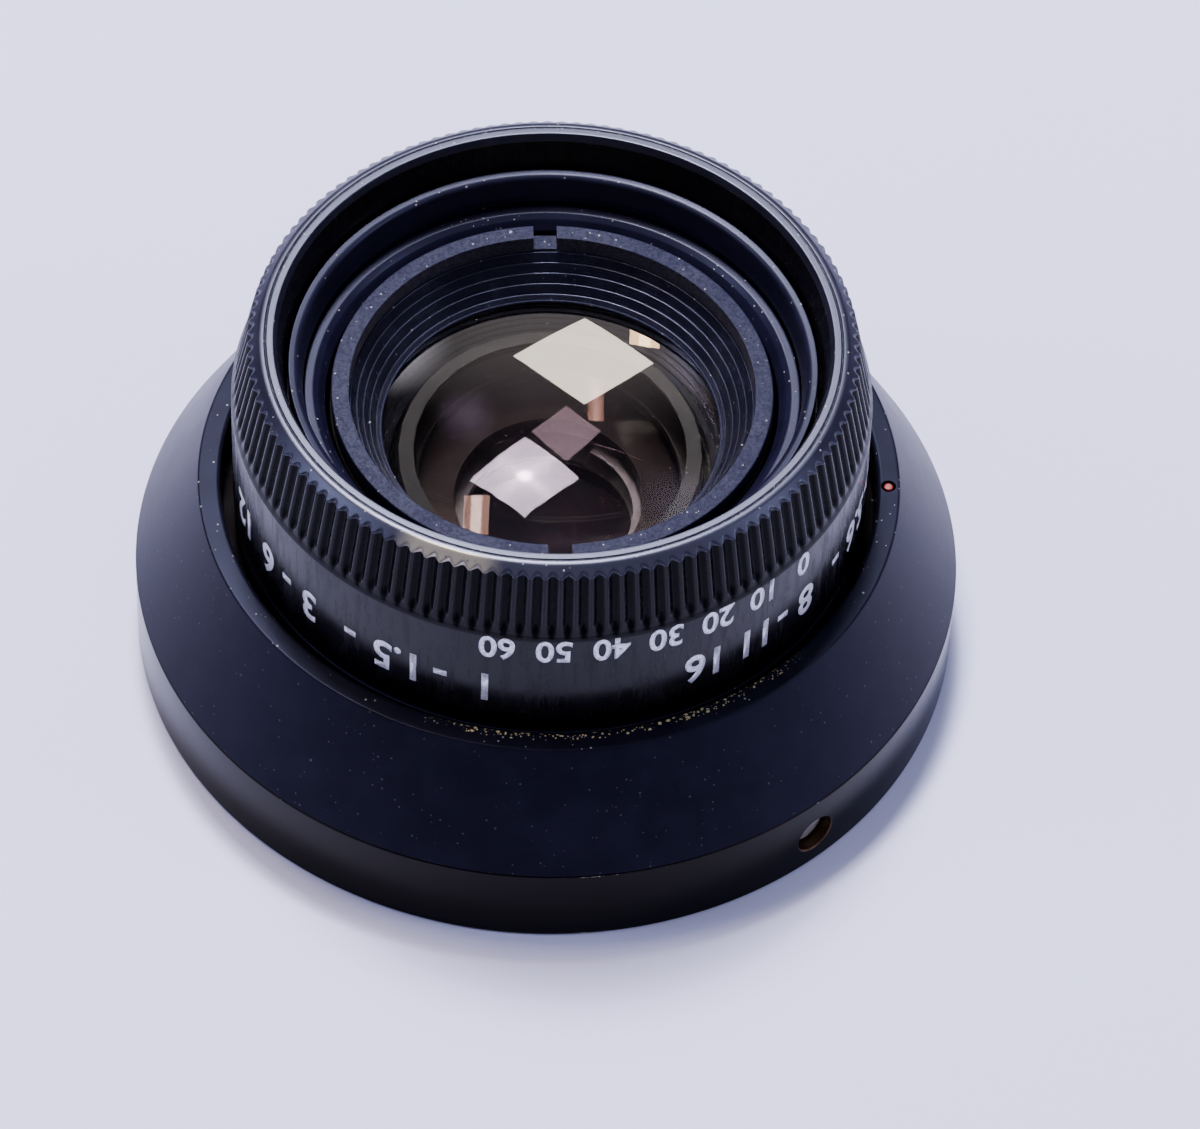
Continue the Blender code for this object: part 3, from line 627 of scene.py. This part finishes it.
def build_aperture_ring():
    """Numbered band, straight knurl with round-ended grooves, chamfer and grooved rim."""
    columns, shares = knurl_columns()
    counterbore, land, waist, shelf = 18.4, 17.35, 1.2, TUBE_TOP - 1.27
    crest_foot_r = BAND_R - 0.18
    line_depth = 0.09            # of the fine line in the rim
    runout = 0.85                # height of a groove's rounded foot
    slope = (KNURL_HEAD_R - crest_foot_r) / (KNURL_HEAD - KNURL_FOOT)
    chamfer = (RIM_OUTER_R - KNURL_HEAD_R) / (RING_TOP - KNURL_HEAD)
    rows = [(RIM_OUTER_R + chamfer * (z - RING_TOP), z, 0.2)
            for z in np.linspace(RING_TOP - 0.06, KNURL_HEAD, 11)]
    r, z, _ = rows.pop()
    rows.append((r - 0.015, z, 1.0))             # the worn edge between chamfer and knurl
    rows += [(KNURL_HEAD_R + slope * (z - KNURL_HEAD), z, 0.0)
             for z in [*np.linspace(KNURL_HEAD - 0.05, KNURL_FOOT + 1.1, 8),
                       *np.linspace(KNURL_FOOT + 0.95, KNURL_FOOT - 0.06, 12)]]
    band = [(BAND_R, KNURL_FOOT - 0.3, 0.3), (BAND_R, KNURL_FOOT - 0.42, 0.0),
            (BAND_R, 18.0, 0.0)]
    rest = rounded([
        (BAND_R, 17.0), (BAND_R, RING_BOTTOM, 0.25), (land, RING_BOTTOM), (land, 16.2),
        (land + waist, 16.5), (land + waist, 20.3), (land, 20.6), (land, shelf),
        (counterbore, shelf), (counterbore, BEZEL_TOP),
        (RIM_INNER_R - 0.08, RING_TOP - 0.45, 0.3), (RIM_INNER_R + 0.12, RING_TOP, 0.1),
        (19.58, RING_TOP), (19.62, RING_TOP - line_depth), (19.7, RING_TOP - line_depth),
        (19.74, RING_TOP), (RIM_OUTER_R - 0.1, RING_TOP)], closed=False)
    profile = np.array(rows + band + rest[1:-1] + [(RIM_OUTER_R - 0.05, RING_TOP, 0.6)])
    r, z, wear_and_shade = profile.T
    across = np.abs(shares - 0.5)[:, None] / (GROOVE_SHARE / 2)
    rise = np.clip((KNURL_FOOT + runout - z) / runout, 0, None)[None, :]
    reach = np.sqrt(across ** 2 + rise ** 2)
    depth = GROOVE_DEPTH * np.clip(1.08 - np.sqrt(reach ** 2 + 0.02), 0, 1)
    floor_r = KNURL_HEAD_R + slope * (z[None, :] - KNURL_HEAD) - depth
    on_knurl = (np.arange(len(r)) < len(rows))[None, :]
    knurled = np.where(on_knurl, np.minimum(r[None, :], floor_r), r[None, :])
    sunk = (r[None, :] - knurled) / GROOVE_DEPTH
    # painted shade: by their depth the grooves get a negative value, which turns their gloss
    # down like the shade in them and holds a little dust
    wear_and_shade = np.where(sunk > 0.02, -np.clip(sunk * 2.0, 0, 1), wear_and_shade[None, :])
    grid = np.stack([knurled * np.cos(columns)[:, None], knurled * np.sin(columns)[:, None],
                     np.broadcast_to(z, knurled.shape)], axis=-1)
    zones = ((z > KNURL_HEAD - 0.02) & (r > RIM_INNER_R - 0.2)).astype(int)
    mesh = lattice("knurled_ring", grid, wear_and_shade, zones=zones)
    piece("knurled_ring", mesh, [RING_BLACK, RIM_BLACK], "aperture_ring", "aperture_ring",
          slot="ring_black")


def numeral_mesh(text, size, azimuth, height, radius):
    """Number wrapped on the band, its top towards the flange, as a mesh in metres."""
    cap_share, bolder, narrower = 0.73, 0.03, 0.86       # shares of the font's own size
    strip, thick, sunk = 0.35, 0.06, 0.035               # millimetres
    curve = bpy.data.curves.new("numeral", "FONT")
    curve.body = text
    curve.size = size / cap_share
    curve.offset = bolder * size
    curve.resolution_u = 6
    curve.align_x = "CENTER"
    obj = bpy.data.objects.new("numeral", curve)
    bpy.context.scene.collection.objects.link(obj)
    graph = bpy.context.evaluated_depsgraph_get()
    mesh = bpy.data.meshes.new_from_object(obj.evaluated_get(graph))
    bpy.data.objects.remove(obj, do_unlink=True)
    bm = bmesh.new()
    bm.from_mesh(mesh)
    bmesh.ops.remove_doubles(bm, verts=bm.verts, dist=0.001)
    bmesh.ops.scale(bm, vec=(narrower, 1.0, 1.0), verts=bm.verts)
    xs = [v.co.x for v in bm.verts]
    for k in range(int(min(xs) / strip), int(max(xs) / strip) + 1):
        bmesh.ops.bisect_plane(bm, geom=bm.verts[:] + bm.edges[:] + bm.faces[:],
                               plane_co=(k * strip, 0, 0), plane_no=(1, 0, 0))
    sheet = bmesh.ops.extrude_face_region(bm, geom=bm.faces[:])
    for v in sheet["geom"]:
        if isinstance(v, bmesh.types.BMVert):
            v.co.z = thick
    bmesh.ops.recalc_face_normals(bm, faces=bm.faces)
    for v in bm.verts:
        turn = azimuth - v.co.x / radius
        level = height - (v.co.y - size / 2)
        v.co = polar(radius + v.co.z - sunk, turn, level) * MM
    bm.to_mesh(mesh)
    bm.free()
    return mesh


def joined(meshes, name):
    """One mesh from several, whose own copies are removed."""
    bm = bmesh.new()
    for mesh in meshes:
        bm.from_mesh(mesh)
        bpy.data.meshes.remove(mesh)
    whole = bpy.data.meshes.new(name)
    bm.to_mesh(whole)
    bm.free()
    return whole


def stop_angle(number, widest=4.5, smallest=16.0):
    """Ring angle at which the iris gives an f-number, from the blades' swing."""
    pivot, blade_r = 12.6, 5.5
    smallest_r = blade_r * widest / smallest
    swing = 2 * math.asin((blade_r - smallest_r) / (2 * pivot))
    wanted = 2 * math.asin((blade_r - blade_r * widest / number) / (2 * pivot))
    return RING_TRAVEL * wanted / swing


def build_numerals():
    """Three generic number scales: stops, exposure factors and degrees of turn."""
    large, small = 2.8, 2.15
    large_row, small_row = 17.9, 22.25
    stops_start, factors_start, degrees_start = 0.0, math.radians(-100), -38
    stops = (4.5, 5.6, 8, 11, 16)
    last_dash = 8                # there is no room for a dash between the last two stops
    labels = []
    for number, factor in zip(stops, ("1", "1.5", "3", "6", "12")):
        turn = stop_angle(number)
        labels += [(f"{number:g}", large, stops_start - turn, large_row),
                   (factor, large, factors_start - turn, large_row)]
    for number, after in zip(stops, stops[1:]):
        turn = (stop_angle(number) + stop_angle(after)) / 2
        if number <= last_dash:
            labels += [("-", large, start - turn, large_row)
                       for start in (stops_start, factors_start)]
    for degrees in range(0, 61, 10):
        azimuth = math.radians(degrees_start - degrees)
        labels.append((str(degrees), small, azimuth, small_row))
    meshes = [numeral_mesh(*label, BAND_R) for label in labels]
    piece("ring_numerals", joined(meshes, "ring_numerals"), [NUMERAL_WHITE], "aperture_ring")


def build_bezel():
    """Bezel inside the rim: the upper ledge and its sloping wall."""
    foot_r, waist_r, mouth_r = 17.1, 17.12, 17.42
    mesh = turned_mesh("bezel_body", rounded([
        (BEZEL_R, BEZEL_TOP, 0.05), (BEZEL_R, BEZEL_BOTTOM), (foot_r, BEZEL_BOTTOM, 0.1),
        (waist_r, BEZEL_BOTTOM + 0.6), (mouth_r, BEZEL_TOP - 0.06, 0.6)]))
    piece("bezel_body", mesh, [BEZEL_BLACK], "aperture_ring", "inner_bezel", slot="bezel_black")


def build_baffle():
    """Sand-blasted ring in front of the glass, with fine ridges and two spanner notches."""
    bore, clear, skirt = 13.95, 11.7, 14.3
    shoulder = BAFFLE_TOP - 1.37
    ridges, start, drop, tread = 5, 1.3, 0.6, 0.12
    step = (bore - clear) / ridges
    notch_size, notch_turn = (1.65, 2.2, 2.2), math.radians(3.6)
    corners = [(BAFFLE_R, BAFFLE_TOP, 0.1), (BAFFLE_R, shoulder), (skirt, shoulder),
               (skirt, BAFFLE_FOOT), (clear, BAFFLE_FOOT, 0.03)]
    for i in reversed(range(ridges)):
        height = BAFFLE_TOP - start - i * drop
        radius = bore - (i + 1) * step
        corners += [(radius, height - drop + 0.02, 0.03), (radius + step - tread, height, 0.06),
                    (radius + step, height - 0.05, 0.03)]
    corners.append((bore, BAFFLE_TOP, 0.06))
    profile = rounded(corners)
    zones = np.array([int(r < bore - 0.02 and z > BAFFLE_FOOT + 0.1) for r, z, _ in profile])
    mesh = turned_mesh("baffle_body", profile, zones=zones)
    baffle = piece("baffle_body", mesh, [BAFFLE_BLACK, RIDGE_BLACK], "root", "front_baffle_ring",
                   slot="baffle_black")
    notches = notch_blocks(notch_size, (BAFFLE_R + bore) / 2, BAFFLE_TOP)
    for notch in notches:
        notch.transform(Matrix.Rotation(notch_turn, 4, "Z"))
    cut(baffle, notches)


def build_front_cell():
    """Front cell, with the finely grooved seat seen through the front glass."""
    mouth, seat, floor, ledge, rim_bore = 8.4, 16.3, 13.1, 19.0, 14.6
    flange_r = 14.0
    slope_in, slope_out = MIDDLE_R + GLASS_ROOM, FRONT_R + GLASS_ROOM
    fall, lines = 1.1, 6
    slope = [(slope_in, seat - fall, 0.05)]
    for i in range(1, lines + 1):
        r = slope_in + (slope_out - slope_in) * i / (lines + 1)
        z = seat - fall + fall * i / (lines + 1)
        slope += [(r - 0.07, z - 0.02, 0.02), (r, z - 0.14, 0.02), (r + 0.07, z + 0.02, 0.02)]
    profile = rounded([
        (CELL_R, CELL_TOP), (CELL_R, seat), (flange_r, seat), (flange_r, CELL_BOTTOM),
        (mouth, CELL_BOTTOM, 0.1), (mouth, floor, 0.1), (slope_in, floor), *slope,
        (slope_out, seat, 0.05), (slope_out, ledge), (rim_bore, ledge), (rim_bore, CELL_TOP)])
    zones = np.array([int(slope_in - 0.1 < r < slope_out + 0.1 and z > seat - fall - 0.1)
                      for r, z, _ in profile])
    piece("front_cell_body", turned_mesh("front_cell_body", profile, zones=zones),
          [CELL_BLACK, SEAT_BLACK], "root", "front_cell", slot="barrel_black")


def build_rear_parts():
    """Rear cell, its notched ring, and the notched lock ring of the barrel."""
    mouth, step, rear_bore = 8.4, 8.0, REAR_R + GLASS_ROOM
    cell = rounded([
        (REAR_CELL_R, REAR_CELL_TOP), (REAR_CELL_R, REAR_CELL_BOTTOM, 0.2),
        (rear_bore, REAR_CELL_BOTTOM, 0.2), (rear_bore, step), (mouth, step),
        (mouth, REAR_CELL_TOP)])
    piece("rear_cell_body", turned_mesh("rear_cell_body", cell), [CELL_BLACK], "root",
          "rear_cell", slot="barrel_black")
    ring_bore, ring_notch = 7.9, (1.4, 1.6, 1.2)
    ring = rounded([(REAR_RING_R, REAR_RING_TOP), (REAR_RING_R, REAR_RING_BOTTOM),
                    (ring_bore, REAR_RING_BOTTOM, 0.15), (ring_bore, REAR_RING_TOP)])
    ring = piece("rear_ring_body", turned_mesh("rear_ring_body", ring), [BAFFLE_BLACK], "root",
                 "rear_retaining_ring", slot="baffle_black")
    cut(ring, notch_blocks(ring_notch, 8.45, REAR_RING_BOTTOM))
    lock_bore, lock_notch = 19.8, (2.0, 2.4, 1.8)
    lock = rounded([(LOCK_R, LOCK_TOP), (LOCK_R, LOCK_BOTTOM, 0.2),
                    (lock_bore, LOCK_BOTTOM), (lock_bore, LOCK_TOP)])
    lock = piece("lock_ring_body", turned_mesh("lock_ring_body", lock), [LOCK_BLACK], "root",
                 "mount_lock_ring", slot="lock_ring_black")
    cut(lock, notch_blocks(lock_notch, LOCK_R, LOCK_BOTTOM))


def sag(radius, curve):
    """Depth of a spherical surface at a radius."""
    return curve - math.sqrt(curve * curve - radius * radius)


def dome(apex, curve, edge, direction):
    """Points of a spherical surface from the axis to its edge.

    The edge lies below the apex where direction is -1, and above it where it is 1."""
    radii = [edge * i / DOME_STEPS for i in range(DOME_STEPS + 1)]
    return [(r, apex + direction * sag(r, curve), 0.0) for r in radii]


def build_lens(name, node, upper, lower, coats):
    """Glass from its upper and lower surfaces, with a blackened edge between them."""
    edge_top, edge_bottom = upper[-1], lower[-1]
    edge = [(edge_top[0] + GLASS_EDGE, edge_top[1] - GLASS_EDGE, 0.0),
            (edge_bottom[0] + GLASS_EDGE, edge_bottom[1] + GLASS_EDGE, 0.0)]
    profile = upper + edge + lower[::-1]
    zones = np.array([0] * (len(upper) - 1) + [2] * 3 + [1] * (len(lower) - 1))
    mesh = turned_mesh(name, profile, closed=False, zones=zones, segments=192)
    mesh.set_sharp_from_angle(angle=math.radians(25))
    piece(name, mesh, [*coats, LACQUER], "root", node, slot="coated_glass")


def build_glass():
    """The three glasses of a triplet."""
    r = FRONT_R - GLASS_EDGE
    build_lens("front_glass", "front_element", dome(FRONT_APEX, FRONT_CURVES[0], r, -1),
               dome(FRONT_REAR + FRONT_REAR_RISE, FRONT_CURVES[1], r, 1),
               (PINK_COAT, CREAM_COAT))
    r = MIDDLE_R - GLASS_EDGE
    build_lens("middle_glass", "middle_element",
               dome(MIDDLE_TOP - sag(r, MIDDLE_CURVES[0]), MIDDLE_CURVES[0], r, 1),
               dome(MIDDLE_BOTTOM + sag(r, MIDDLE_CURVES[1]), MIDDLE_CURVES[1], r, -1),
               (INNER_COAT, INNER_COAT))
    r = REAR_R - GLASS_EDGE
    build_lens("rear_glass", "rear_element", dome(REAR_TOP, REAR_CURVES[0], r, -1),
               dome(REAR_BOTTOM, REAR_CURVES[1], r, 1), (REAR_COAT, REAR_COAT))


def build_index():
    """Red enamel dot let into the lip."""
    low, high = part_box("index_mark")
    at = (low + high) / 2 / MM
    radius = (high.x - low.x) / 2 / MM
    mesh = rod_mesh(radius, Vector((at.x, at.y, low.z / MM)), Vector((at.x, at.y, high.z / MM)))
    dot = piece("index_dot", mesh, [INDEX_RED], "root", "index_mark", slot="index_red")
    soften(dot, 0.12, 3)


def refine_cad_pieces():
    """Give the pieces kept from CAD their finish."""
    finishes = {
        "ring_retainer": BARREL_BLACK, "click_ball": SCREW_STEEL, "click_spring": BLADE_STEEL,
        "spacer_ring": CELL_BLACK, "iris_base_ring": IRIS_BRASS,
        "iris_actuator_ring": IRIS_BRASS, "ring_key": SCREW_STEEL}
    finishes.update({f"iris_blade_{i}": BLADE_STEEL for i in range(1, 6)})
    for node, material in finishes.items():
        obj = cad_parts[node]
        obj.data.materials.clear()
        obj.data.materials.append(material)


# ----------------------------------------------------- camera and studio

def build_camera():
    """Camera at the photograph's angle: a long lens that looks down at about 50 degrees."""
    place, pan, pitch, roll = (0.0, -0.2917, 0.3565), -0.75, 50.3, 2.65
    data = bpy.data.cameras.new("camera")
    data.lens = 193.3
    data.sensor_width = 36.0
    camera = bpy.data.objects.new("camera", data)
    bpy.context.scene.collection.objects.link(camera)
    camera.matrix_world = (
        Matrix.Translation(place) @ Matrix.Rotation(math.radians(pan), 4, "Z")
        @ Matrix.Rotation(math.radians(90 - pitch), 4, "X")
        @ Matrix.Rotation(math.radians(roll), 4, "Z"))
    bpy.context.scene.camera = camera


def shape_lamp(data, edge, hot):
    """Fade an area light towards its rim, with a bright lamp and faint arms at its centre."""
    data.use_nodes = True
    g = Graph(data.node_tree)
    across = g.add("NewGeometry").outputs["Parametric"]
    reach = g.add("VectorMath", {0: across, 1: (0.5, 0.5, 0.0)},
                  operation="DISTANCE").outputs["Value"]
    uv = g.add("SeparateXYZ", {0: across}).outputs
    arms = g.maths("MINIMUM", *[g.maths("ABSOLUTE", g.maths("SUBTRACT", uv[i], 0.5))
                                for i in (0, 1)])
    lamp = g.maths("ADD", g.span(reach, 0.03, 0.13, hot, 0.0),
                   g.span(arms, 0.0, 0.12, hot * 0.15, 0.0))
    strength = g.maths("ADD", g.span(reach, 0.0, 0.5, 1.0, edge), lamp)
    data.node_tree.links.new(strength, data.node_tree.nodes["Emission"].inputs["Strength"])


def softbox(name, azimuth, elevation, distance, size, radiance, colour, roll=0.0, edge=1.0,
            hot=0.0):
    """Area light that faces the lens from a direction, set by its radiance.

    edge: how bright its rim is beside its centre; hot: extra brightness of its lamp."""
    aim = Vector((0, 0, 0.02))
    data = bpy.data.lights.new(name, "AREA")
    data.shape = "RECTANGLE"
    data.size, data.size_y = size
    data.energy = radiance * math.pi * size[0] * size[1]
    data.color = colour
    if edge < 1:
        shape_lamp(data, edge, hot)
    obj = bpy.data.objects.new(name, data)
    bpy.context.scene.collection.objects.link(obj)
    az, el = math.radians(azimuth), math.radians(elevation)
    way = Vector((math.cos(az) * math.cos(el), math.sin(az) * math.cos(el), math.sin(el)))
    turn = way.to_track_quat("Z", "Y").to_matrix().to_4x4()
    obj.matrix_world = (Matrix.Translation(way * distance + aim) @ turn
                        @ Matrix.Rotation(math.radians(roll), 4, "Z"))


def build_floor():
    """Pale floor under the lens."""
    mesh = bpy.data.meshes.new("floor")
    bm = bmesh.new()
    bmesh.ops.create_grid(bm, x_segments=1, y_segments=1, size=0.9)
    bm.to_mesh(mesh)
    bm.free()
    mesh.materials.append(floor_finish())
    floor = bpy.data.objects.new("floor", mesh)
    bpy.context.scene.collection.objects.link(floor)


def build_lights():
    """Key softbox and bar light, both seen in the glass, and three windows that fade out."""
    far, bar, bar_roll, sky = 0.9, (139.6, 72), -51, (0.66, 0.7, 1.0)
    softbox("key_softbox", 100.4, 65, far, (0.222, 0.222), 150.0, (0.86, 0.87, 1.0), roll=35.6,
            edge=0.6, hot=3.0)
    softbox("bar_light", *bar, far, (0.075, 0.27), 30.0, (1.0, 0.7, 0.5), roll=bar_roll)
    softbox("bar_core", *bar, far - 0.01, (0.03, 0.27), 80.0, (1.0, 0.88, 0.75), roll=bar_roll)
    softbox("window", 38, 56, far, (0.4, 0.4), 5.0, (0.6, 0.66, 1.0), edge=0.0)
    softbox("right_window", -10, 28, far, (0.4, 0.6), 12.0, sky, edge=0.0)
    softbox("left_window", 187, 38, far, (0.5, 0.5), 12.0, sky, edge=0.0)


def build_world():
    """Dark room with a broad glow high up, a little towards the camera."""
    glow_elevation, dark, bright = math.radians(76), (0.01, 0.01, 0.018, 1), (0.74, 0.76, 1.0, 1)
    world = bpy.data.worlds.new("studio")
    bpy.context.scene.world = world
    world.use_nodes = True
    world.node_tree.nodes.clear()
    g = Graph(world.node_tree)
    way = g.add("TexCoord").outputs["Generated"]
    axis = polar(math.cos(glow_elevation), math.radians(-90), math.sin(glow_elevation))
    facing = g.add("VectorMath", {0: way, 1: axis}, operation="DOT_PRODUCT").outputs["Value"]
    tone = g.mix(g.span(facing, 0.55, 0.95), dark, bright)
    background = g.add("Background", {"Color": tone, "Strength": 0.9})
    output = g.add("OutputWorld")
    g.tree.links.new(background.outputs[0], output.inputs[0])


build_camera()
build_floor()
build_lights()
build_world()
build_flange()
build_set_screw()
build_barrel()
build_aperture_ring()
build_numerals()
build_bezel()
build_baffle()
build_front_cell()
build_rear_parts()
build_glass()
build_index()
refine_cad_pieces()
